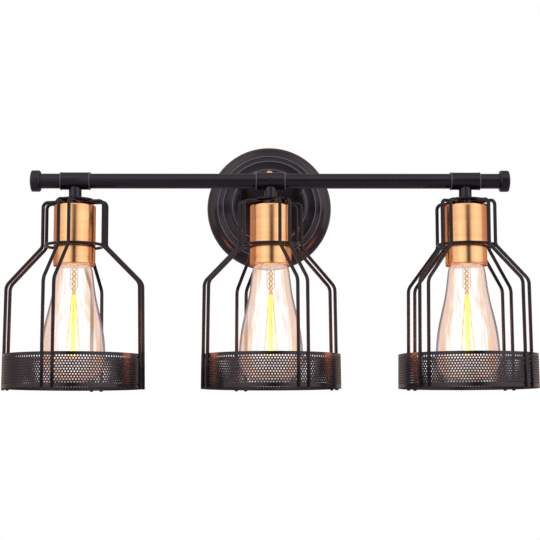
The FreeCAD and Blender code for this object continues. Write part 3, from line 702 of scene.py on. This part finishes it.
class VANITY_OT_bar(bpy.types.Operator):
    """Draw the bar, its end caps, the arms and the collars"""

    bl_idname = "vanity.bar"
    bl_label = "Bar and arms"

    def execute(self, context):
        bar, size = measure("bar_tube")
        half, radius, wall = size.x / 2, size.z / 2, 1.2
        outline = [(radius - wall, -half), (radius, -half), (radius, half), (radius - wall, half)]
        self.add("bar", spun(outline, bar, ALONG_BAR), 40, "bar_tube")
        for side, sign in (("left", -1), ("right", 1)):
            self.add_cap(side, sign, radius)
            self.add_arm(side, bar, radius)
        for side in SIDES:
            self.add_collar(side, radius)
            self.add_neck(side)
        return {"FINISHED"}

    def add(self, name, shape, smooth_below, node):
        return add_piece(name, shape, "black", smooth_below, "root", "black_steel", node)

    def add_cap(self, side, sign, bar_radius):
        centre, size = measure(side + "_end_cap")
        radius, end, edge = size.z / 2, size.x / 2, size_in_mm("edge")
        dome, depth, chamfer, bore = 1.5, 6.5, 0.9, bar_radius + FIT
        face, foot, brow = radius - chamfer, depth - end, end - dome
        outline = softened([
            (0, foot, 0), (bore, foot, 0), (bore, -end, 0), (face, -end, 0.2), (radius, chamfer - end, edge),
            (radius, brow - chamfer, edge), (face, brow, edge), (radius * 0.6, end - dome * 0.36, 0),
        ])[:-1]
        outline += [(face * share / 10, end - dome * (share / 10) ** 2) for share in range(9, -1, -1)]
        self.add(side + "_cap", spun(outline, centre, ALONG_BAR * sign), 50, side + "_end_cap")

    def add_arm(self, side, bar, bar_radius):
        centre, size = measure(side + "_arm")
        radius, bore, thread, reach = size.x / 2, 4.0, 4.9, -bar.y
        # The threaded tail starts and the canopy's face stands so far from the wall
        tail, face = 13.8, 23.0
        outline = [(bore, tail), (thread, tail), (thread, face - 0.4), (radius, face), (radius, reach),
                   (bore, reach)]
        shape = spun(outline, Vector((centre.x, 0, centre.z)), ROOM, 64)
        # The far end is drawn back to the bar's round side
        for vertex in shape[0]:
            if abs(vertex.y + reach) < CLOSE:
                rise = vertex.z - bar.z
                vertex.y = bar.y + math.sqrt(max(bar_radius ** 2 - rise ** 2, 0.0)) + 0.02
        self.add(side + "_arm_tube", shape, 40, side + "_arm")

    def add_collar(self, side, bar_radius):
        centre, size = measure(side + "_collar")
        radius, half, bore, screw_radius = size.z / 2, size.x / 2, bar_radius + FIT, 1.75
        # A bead rolled at each end catches the light
        ends = ((bore, 0, 0), (radius - 0.9, 0, 0.3), (radius, 0.5, 0.35), (radius, 1.1, 0.35),
                (radius - 0.4, 1.5, 0.2))
        corners = [(wide, along - half, soft) for wide, along, soft in ends]
        corners += [(wide, -along, soft) for wide, along, soft in reversed(corners)]
        shape = spun(softened(corners), centre, ALONG_BAR)
        piece = self.add(side + "_bar_collar", shape, 50, side + "_collar")
        drill(piece, centre, ROOM, screw_radius, radius + 1)

        def on_bead(middle):
            across = math.hypot(middle.y - centre.y, middle.z - centre.z)
            return abs(middle.x - centre.x) > half - 1.2 and across > radius - 0.25

        # The beads' outer faces get the lighter coat as a painted highlight
        paint_edge_highlights(piece, on_bead)

    def add_neck(self, side):
        axis, bore = lamp_axis(side), 5.06
        _top, foot, radius = heights_from(axis, side + "_neck")
        groove = radius - 0.4
        corners = [(bore, foot, 0), (radius - 0.3, foot, 0.1), (radius, foot + 0.6, 0.3),
                   (radius, foot + 1.5, 0.1), (groove, foot + 1.7, 0.1), (groove, foot + 2.0, 0.1),
                   (radius, foot + 2.2, 0.1), (radius, 0, 0), (bore, 0, 0)]
        shape = spun(softened(corners, 3), axis, UP, 64)
        # The upper end is fitted to the collar's round side
        collar = measure(side + "_collar")[1].z / 2
        for vertex in shape[0]:
            if abs(vertex.z - axis.z) < CLOSE:
                vertex.z = axis.z - math.sqrt(collar ** 2 - (vertex.y - axis.y) ** 2) + FIT
        self.add(side + "_neck_tube", shape, 50, side + "_neck")


class VANITY_OT_cages(bpy.types.Operator):
    """Bend the cage wires and set the plates, waist rings and weld beads"""

    bl_idname = "vanity.cages"
    bl_label = "Cages"

    turns_deg = (-13.0, 25.0, -44.5)
    pair_spacing = 10.5
    # Each bend of a wire: its distance from the lamp's axis, height above the bar's axis and bending radius.
    # The first is where the wire starts under the plate, 11.5 mm out
    bends = ((12.6417, -21.7, 0), (32.0, -21.7, 5.0), (32.0, -66.4, 7.0), (69.6, -104.1, 11.0),
             (71.0, -208.0, 0))
    band_welds = (-177.0, -203.5)

    def execute(self, context):
        for side, turn_deg in zip(SIDES, self.turns_deg):
            axis = lamp_axis(side)
            self.add_wires(side, axis, math.radians(turn_deg))
            self.add_plate(side, axis)
            self.add_ring(side, axis)
        return {"FINISHED"}

    def add(self, side, name, shape, finish, smooth_below, *nodes):
        slot = "black_steel" if finish == "black" else "black_wire"
        nodes = [side + node for node in nodes]
        return add_piece(side + name, shape, finish, smooth_below, side + "_cage", slot, *nodes)

    def out_along(self, reach):
        """How far out along its pair's direction a wire is at a distance from the lamp's axis."""
        return math.sqrt(reach ** 2 - (self.pair_spacing / 2) ** 2)

    def add_wires(self, side, axis, turn):
        radius = size_in_mm("wire")
        path = softened([(self.out_along(reach), level, bend) for reach, level, bend in self.bends], 10)
        plate, _above, (waist_reach, waist, _bend), (lower, shoulder, _bend), (mouth, end, _bend) = self.bends
        # Distance out and height of each weld bead, its size and flatness, and how far the direction that it
        # is flattened along points outward and up: one on the waist ring, one on the plate, two on the band
        welds = [(self.out_along(waist_reach) - radius * 0.9, waist + 1.2, 1.55, 0.6, 1, 0),
                 (17.8, plate[1] + radius * 0.8, 1.7, 0.5, 0, 1)]
        for level in self.band_welds:
            reach = lower + (level - shoulder) / (end - shoulder) * (mouth - lower)
            welds.append((self.out_along(reach) - radius * 0.85, level, 1.3, 0.5, -1, 0))
        wires, beads = [], []
        for pair in turns(4):
            outward, sideways = about(turn + pair - FULL_TURN / 4), about(turn + pair)
            for sign in (-1, 1):
                start = axis + sideways * sign * self.pair_spacing / 2
                spots = [start + outward * across + UP * along for across, along in path]
                wires.append(drawn_wire(spots, radius))
                for out, level, size, flatness, outward_share, up_share in welds:
                    along = outward * outward_share + UP * up_share
                    beads.append(bead(start + outward * out + UP * level, size, along, flatness))
        # The wires and weld beads wear the wire coat, darkened as painted shade
        self.add(side, "_wires", join(wires), "wire", 60, "_cage_wires").visible_glossy = False
        self.add(side, "_weld_beads", join(beads), "wire", 80)

    def add_plate(self, side, axis):
        top, bottom, radius = heights_from(axis, side + "_cage_plate")
        bore, boss, under = 5.08, 9.5, top - 1.5
        corners = [(bore, bottom, 0), (boss, bottom, 0.3), (boss, under, 0.6), (radius - 0.4, under, 0.3),
                   (radius, under + 0.5, 0.4), (radius - 0.5, top - 0.1, 0.5), (radius - 3.0, top, 2.0),
                   (bore, top, 0)]
        self.add(side, "_top_plate", spun(softened(corners), axis), "black", 50, "_cage_plate")

    def add_ring(self, side, axis):
        centre, size = measure(side + "_waist_ring")
        radius, level = size_in_mm("ring_wire"), centre.z - axis.z
        out = size.x / 2 - radius
        outline = [(out + radius * math.cos(angle), level + radius * math.sin(angle)) for angle in turns(20)]
        # The waist ring wears the same wire coat, darkened as painted shade
        self.add(side, "_ring", spun(outline, axis), "wire", 60, "_waist_ring")


class VANITY_OT_bands(bpy.types.Operator):
    """Punch the staggered holes of the perforated bands"""

    bl_idname = "vanity.bands"
    bl_label = "Perforated bands"

    top_margin = 2.8
    # The band leans as the wires do: 1.4 mm over the 103.9 mm from their shoulder to the mouth
    lean = 1.4 / 103.9
    # Points round the sheet that holds one hole, in shares of a hole's pitch and of the row's height
    cell = ((0, 0.5), (0, 1), (0.5, 1), (1, 1), (1, 0.5), (1, 0), (0.5, 0), (0, 0))

    def execute(self, context):
        for side in SIDES:
            self.add_band(side, context.scene.vanity_sizes.hole_rows)
        return {"FINISHED"}

    def add_band(self, side, rows):
        low, high = box(side + "_mesh_band")
        pitch, hole_radius, wall = size_in_mm("hole_pitch"), size_in_mm("hole") / 2, size_in_mm("band_wall")
        axis, bottom_radius = lamp_axis(side), (high.x - low.x) / 2
        count = 2 * round(FULL_TURN * bottom_radius / pitch / 2)
        step, row_height = FULL_TURN / count, pitch * math.sin(math.pi / 3)
        first = high.z - self.top_margin
        vertices, faces, known = [], [], {}

        def corner(turn, height, skin):
            """One shared vertex of the outer skin, 0, or the inner skin, 1; turns are counted in holes."""
            key = (round(turn * 4096) % (4096 * count), round(height / CLOSE, 1), skin)
            if key not in known:
                known[key] = len(vertices)
                spot = axis + about(turn * step, bottom_radius - (height - low.z) * self.lean - wall * skin)
                vertices.append((spot.x, spot.y, height))
            return known[key]

        def panel(loop):
            """A face on the outer skin and its twin on the inner skin."""
            faces.extend([[corner(*spot, 0) for spot in loop], [corner(*spot, 1) for spot in reversed(loop)]])

        def rim(start, end):
            """A face through the wall, from the outer skin to the inner one."""
            faces.append([corner(*start, 0), corner(*end, 0), corner(*end, 1), corner(*start, 1)])

        for row in range(rows):
            top = first - row * row_height
            for index in range(count):
                left = index + row % 2 / 2
                sheet = [(left + across, top - drop * row_height) for across, drop in self.cell]
                hole = [(left + 0.5 - hole_radius * math.cos(angle) / (bottom_radius * step),
                         top - row_height / 2 - hole_radius * math.sin(angle)) for angle in turns(len(sheet))]
                for here in range(len(sheet)):
                    after = (here + 1) % len(sheet)
                    panel([sheet[here], sheet[after], hole[after], hole[here]])
                    rim(hole[here], hole[after])
        for index in range(2 * count):
            left, right = index / 2, (index + 1) / 2
            for under, over in ((low.z, first - rows * row_height), (first, high.z)):
                panel([(left, under), (right, under), (right, over), (left, over)])
            for level in (low.z, high.z):
                rim((left, level), (right, level))
        shape, body = (vertices, faces), side + "_cage"
        add_piece(side + "_perforated_band", shape, "black", 30, body, "black_mesh", side + "_mesh_band")


class VANITY_OT_sockets(bpy.types.Operator):
    """Turn the brass socket cups"""

    bl_idname = "vanity.sockets"
    bl_label = "Socket cups"

    wall = 0.8
    bore = 5.06

    def execute(self, context):
        for side in SIDES:
            node, axis = side + "_socket_cup", lamp_axis(side)
            top, bottom, radius = heights_from(axis, node)
            inside = radius - self.wall
            # The lip is rolled into a small bead
            corners = [(self.bore, top, 0), (radius, top, 2.4), (radius, bottom + 2.0, 0.2),
                       (radius - 0.35, bottom + 1.6, 0.2), (radius, bottom + 1.1, 0.3),
                       (radius - 0.1, bottom + 0.3, 0.3), (radius - 0.6, bottom, 0.2), (inside, bottom, 0.1),
                       (inside, top - self.wall, 1.6), (self.bore, top - self.wall, 0)]
            shape = spun(softened(corners), axis, UP, 128)
            add_piece(side + "_cup", shape, "cup", 50, "root", "brushed_copper_brass", node)
        return {"FINISHED"}


class VANITY_OT_lamps(bpy.types.Operator):
    """Blow the lamp glass and set the stem, filament and screw base inside"""

    bl_idname = "vanity.lamps"
    bl_label = "Lamps"

    # Radius over the widest radius, and drop below the base rim over the length from rim to tip
    outline_shares = (
        (0.430, 0.003), (0.515, 0.022), (0.572, 0.060), (0.616, 0.150), (0.664, 0.245), (0.730, 0.335),
        (0.805, 0.420), (0.878, 0.505), (0.934, 0.590), (0.972, 0.675), (0.994, 0.755), (1.000, 0.800),
        (0.985, 0.842), (0.935, 0.890), (0.840, 0.930), (0.680, 0.963), (0.440, 0.987), (0.200, 0.998),
    )
    widest_radius = 32.0
    neck_radius = 12.5
    # Reach of the twisted leads, the fanned strands and the bright core from the middle, at top and foot
    lead_reach = (1.7, 1.1)
    strand_reach = (1.75, 7.0)
    core_reach = (1.1, 1.7)
    # Drop below the bar's axis and radius of each ball of warm light, and its power in watts
    warm_balls = ((112, 13, 0.02), (138, 20, 0.12), (170, 25, 0.24))
    warm_hue = "#FF8A58"

    def execute(self, context):
        for self.side in SIDES:
            self.axis = lamp_axis(self.side)
            self.add_glass()
            self.add_stem()
            self.add_filament(context.scene.vanity_sizes.strands)
            self.add_base()
            self.add_lights()
        return {"FINISHED"}

    def heights(self, node):
        return heights_from(self.axis, self.side + node)

    def add(self, name, shape, finish, smooth_below, slot, *nodes):
        nodes = [self.side + node for node in nodes]
        add_piece(self.side + name, shape, finish, smooth_below, self.side + "_lamp", slot, *nodes)

    def turned(self, corners, segments):
        return spun(softened(corners), self.axis, UP, segments)

    def smooth_outline(self, rim, tip, inset):
        """The outline's points joined by a smooth curve, drawn in by an inset."""
        places = [Vector((share * self.widest_radius, rim + drop * (tip - rim)))
                  for share, drop in self.outline_shares]
        beyond = [Vector((0, tip)), Vector((-places[-1].x, places[-1].y))]
        places = [places[0] * 2 - places[1]] + places + beyond
        curve, steps = [], 6
        for before, here, there, after in zip(places, places[1:], places[2:], places[3:]):
            for step in range(steps):
                t = step / steps
                curve.append(0.5 * (2 * here + (there - before) * t
                                    + (2 * before - 5 * here + 4 * there - after) * t ** 2
                                    + (3 * here - before - 3 * there + after) * t ** 3))
        drawn = []
        for before, spot, after in zip(curve[:1] + curve, curve, curve[1:] + [Vector((0, tip))]):
            heading = (after - before).normalized()
            drawn.append(spot + Vector((heading.y, -heading.x)) * inset)
        return [spot for spot in drawn if spot.x >= 0] + [Vector((0, tip + inset))]

    def add_glass(self):
        top, tip, _half = self.heights("_bulb_glass")
        rim = self.heights("_bulb_base")[1]
        outer, inner = [
            [(self.neck_radius - inset, top), (self.neck_radius - inset, rim - FIT)]
            + self.smooth_outline(rim, tip, inset) for inset in (0, size_in_mm("glass_wall"))
        ]
        shape = spun(outer + inner[::-1], self.axis)
        self.add("_blown_glass", shape, "glass", 70, "clear_glass", "_bulb_glass")

    def add_stem(self):
        """The flared glass tube and its thin rod, with two lead wires twisted round each other inside."""
        top, foot, flare = self.heights("_bulb_stem")
        tube, rod = 4.0, 0.8
        stem = [(0, top - 2.0, 0), (flare - 0.8, top, 0.3), (flare, top, 0.2), (tube, top - 4.0, 3.0),
                (tube, top - 26.0, 2.0), (rod, top - 30.0, 2.0), (rod, foot + rod, 0.4), (0, foot, 0)]
        self.add("_glass_stem", self.turned(stem, 40), "tube", 70, "clear_glass", "_bulb_stem")
        start, end, steps = top - 3.0, self.heights("_bulb_filament")[0], 80
        radius, turn_length, wires = 0.85, 10.0, []
        for half_turn in (0, math.pi):
            points = []
            for step in range(steps + 1):
                drop = (start - end) * step / steps
                reach = self.lead_reach[0] + (self.lead_reach[1] - self.lead_reach[0]) * (step / steps) ** 3
                points.append(self.axis + about(half_turn + FULL_TURN * drop / turn_length, reach)
                              + UP * (start - drop))
            wires.append(drawn_wire(points, radius, 10))
        # The leads give out a painted amber glow
        self.add("_twisted_leads", join(wires), "amber", 60, "filament")

    def add_filament(self, count):
        """Glowing strands that fan out from a small spoked support to a wide one."""
        top, bottom, _half = self.heights("_bulb_filament")
        levels = [self.axis + UP * level for level in (top - 0.8, bottom + 0.8)]
        radius, spoke_radius = size_in_mm("strand"), 0.3
        strands, core, spokes = [], [], []
        for turn in turns(count):
            out = about(turn + FULL_TURN * 0.08 / count)
            for group, reaches, share in ((strands, self.strand_reach, 0.8), (core, self.core_reach, 1.15)):
                start, end = [level + out * reach for level, reach in zip(levels, reaches)]
                group.append(drawn_wire([start, start.lerp(end, 0.5), end], radius * share, 12))
            for level, reach in zip(levels, self.strand_reach):
                spokes.append(drawn_wire([level + out * 0.9, level + out * (reach + 0.6)], spoke_radius, 8))
        self.add("_glowing_core", join(core), "glow", 60, "filament", "_bulb_filament")
        self.add("_fanned_strands", join(strands), "ember", 60, "filament")
        # The spokes give out the same painted amber glow
        self.add("_filament_spokes", join(spokes), "amber", 60, "filament")

    def add_base(self):
        """The screw shell with its skirt and cap, the black glass insulator and the centre button."""
        top, rim, radius = self.heights("_bulb_base")
        pitch, depth, segments, per_pitch = 3.6, 0.7, 64, 10
        thread_top, thread_bottom = top - 5.0, rim + 3.0
        count = round((thread_top - thread_bottom) / pitch * per_pitch)
        levels = [rim, rim + 1.2]
        levels += [thread_bottom + (thread_top - thread_bottom) * step / count for step in range(count + 1)]
        vertices = []
        for level in levels:
            # The thread fades out over half a pitch at each end
            fade = 2 * min(max((level - thread_bottom) / pitch, 0), max((thread_top - level) / pitch, 0), 0.5)
            for angle in turns(segments):
                swing = math.cos(FULL_TURN * (level - thread_bottom) / pitch - angle)
                reach = radius - depth / 2 * (1 - swing) * fade
                vertices.append(self.axis + about(angle, reach) + UP * level)
        rows = [range(first, first + segments) for first in range(0, len(vertices), segments)]
        skirt = [(radius - 0.4, rim + 16, 0), (radius - 0.4, rim, 0), (radius, rim, 0)]
        cap = [(0, top - 9, 0), (radius - 0.7, top - 9, 0), (radius, thread_top, 0.3), (9.5, top - 3.6, 0.8),
               (9.0, top - 3.9, 0)]
        shell = join([(vertices, stitched(rows)), self.turned(skirt, segments), self.turned(cap, segments)])
        self.add("_screw_base", shell, "stamped", 50, "lamp_cap_brass", "_bulb_base")
        insulator = [(0, top - 5, 0), (9.4, top - 4.0, 0.3), (8.6, top - 2.4, 1.0), (5.2, top - 0.7, 0.5),
                     (0, top - 0.7, 0)]
        self.add("_base_insulator", self.turned(insulator, 48), "insulator", 60, "lamp_cap_brass")
        button = [(0, top - 1.4, 0), (4.7, top - 1.2, 0.2), (4.5, top - 0.4, 0.4), (2.0, top, 1.0),
                  (0, top, 0)]
        self.add("_base_button", self.turned(button, 32), "zinc", 60, "lamp_cap_brass")

    def add_lights(self):
        """The warm light that the lamp throws on its cage: three soft balls that fill the glass."""
        for number, (drop, radius, power) in enumerate(self.warm_balls):
            data = bpy.data.lights.new(f"{self.side}_warm_light_{number}", "POINT")
            data.energy = power
            data.shadow_soft_size = radius * MM
            data.color = linear_from_hex(self.warm_hue)
            light = link_object(data.name, data)
            light.location = (self.axis - UP * drop) * MM
            light.visible_camera = False
            light.visible_transmission = False
            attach(light, self.side + "_lamp")


class VANITY_OT_hardware(bpy.types.Operator):
    """Give the pieces that keep their frame shape their finishes"""

    bl_idname = "vanity.hardware"
    bl_label = "Hardware finishes"

    finishes = {
        "mounting_bracket": "zinc", "bracket_studs": "zinc", "ground_screw": "green", "arm_nuts": "zinc",
        "collar_screws": "oxide", "nipple_nuts": "zinc", "live_leads": "live", "neutral_leads": "neutral",
    }
    lamp_finishes = {
        "nipple": "zinc", "lamp_holder": "porcelain", "screw_shell": "stamped", "centre_contact": "stamped",
    }

    def execute(self, context):
        chosen = dict(self.finishes)
        for side in SIDES:
            for part, finish in self.lamp_finishes.items():
                chosen[side + "_" + part] = finish
        for node, finish in chosen.items():
            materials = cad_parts[node].data.materials
            materials.clear()
            materials.append(MATERIALS[finish])
        return {"FINISHED"}


class VANITY_PT_panel(bpy.types.Panel):
    """Sidebar panel that lists the steps"""

    bl_idname = "VANITY_PT_panel"
    bl_label = "Vanity Light"
    bl_space_type = "VIEW_3D"
    bl_region_type = "UI"
    bl_category = "Vanity Light"

    def draw(self, context):
        layout = self.layout
        for step in STEPS:
            layout.operator(step.bl_idname)
        for group in (context.scene.vanity_sizes, context.scene.vanity_colours):
            for name in group.__annotations__:
                layout.prop(group, name)


STEPS = (
    VANITY_OT_camera,
    VANITY_OT_stage,
    VANITY_OT_canopy,
    VANITY_OT_bar,
    VANITY_OT_cages,
    VANITY_OT_bands,
    VANITY_OT_sockets,
    VANITY_OT_lamps,
    VANITY_OT_hardware,
)
CLASSES = (VanitySizes, VanityColours) + STEPS + (VANITY_PT_panel,)


def register():
    for cls in CLASSES:
        bpy.utils.register_class(cls)
    bpy.types.Scene.vanity_sizes = PointerProperty(type=VanitySizes)
    bpy.types.Scene.vanity_colours = PointerProperty(type=VanityColours)


def unregister():
    del bpy.types.Scene.vanity_colours
    del bpy.types.Scene.vanity_sizes
    for cls in reversed(CLASSES):
        bpy.utils.unregister_class(cls)


def main():
    register()
    make_materials()
    bpy.ops.vanity.camera()
    bpy.ops.vanity.stage()
    bpy.ops.vanity.canopy()
    bpy.ops.vanity.bar()
    bpy.ops.vanity.cages()
    bpy.ops.vanity.bands()
    bpy.ops.vanity.sockets()
    bpy.ops.vanity.lamps()
    bpy.ops.vanity.hardware()


if __name__ == "__main__":
    main()
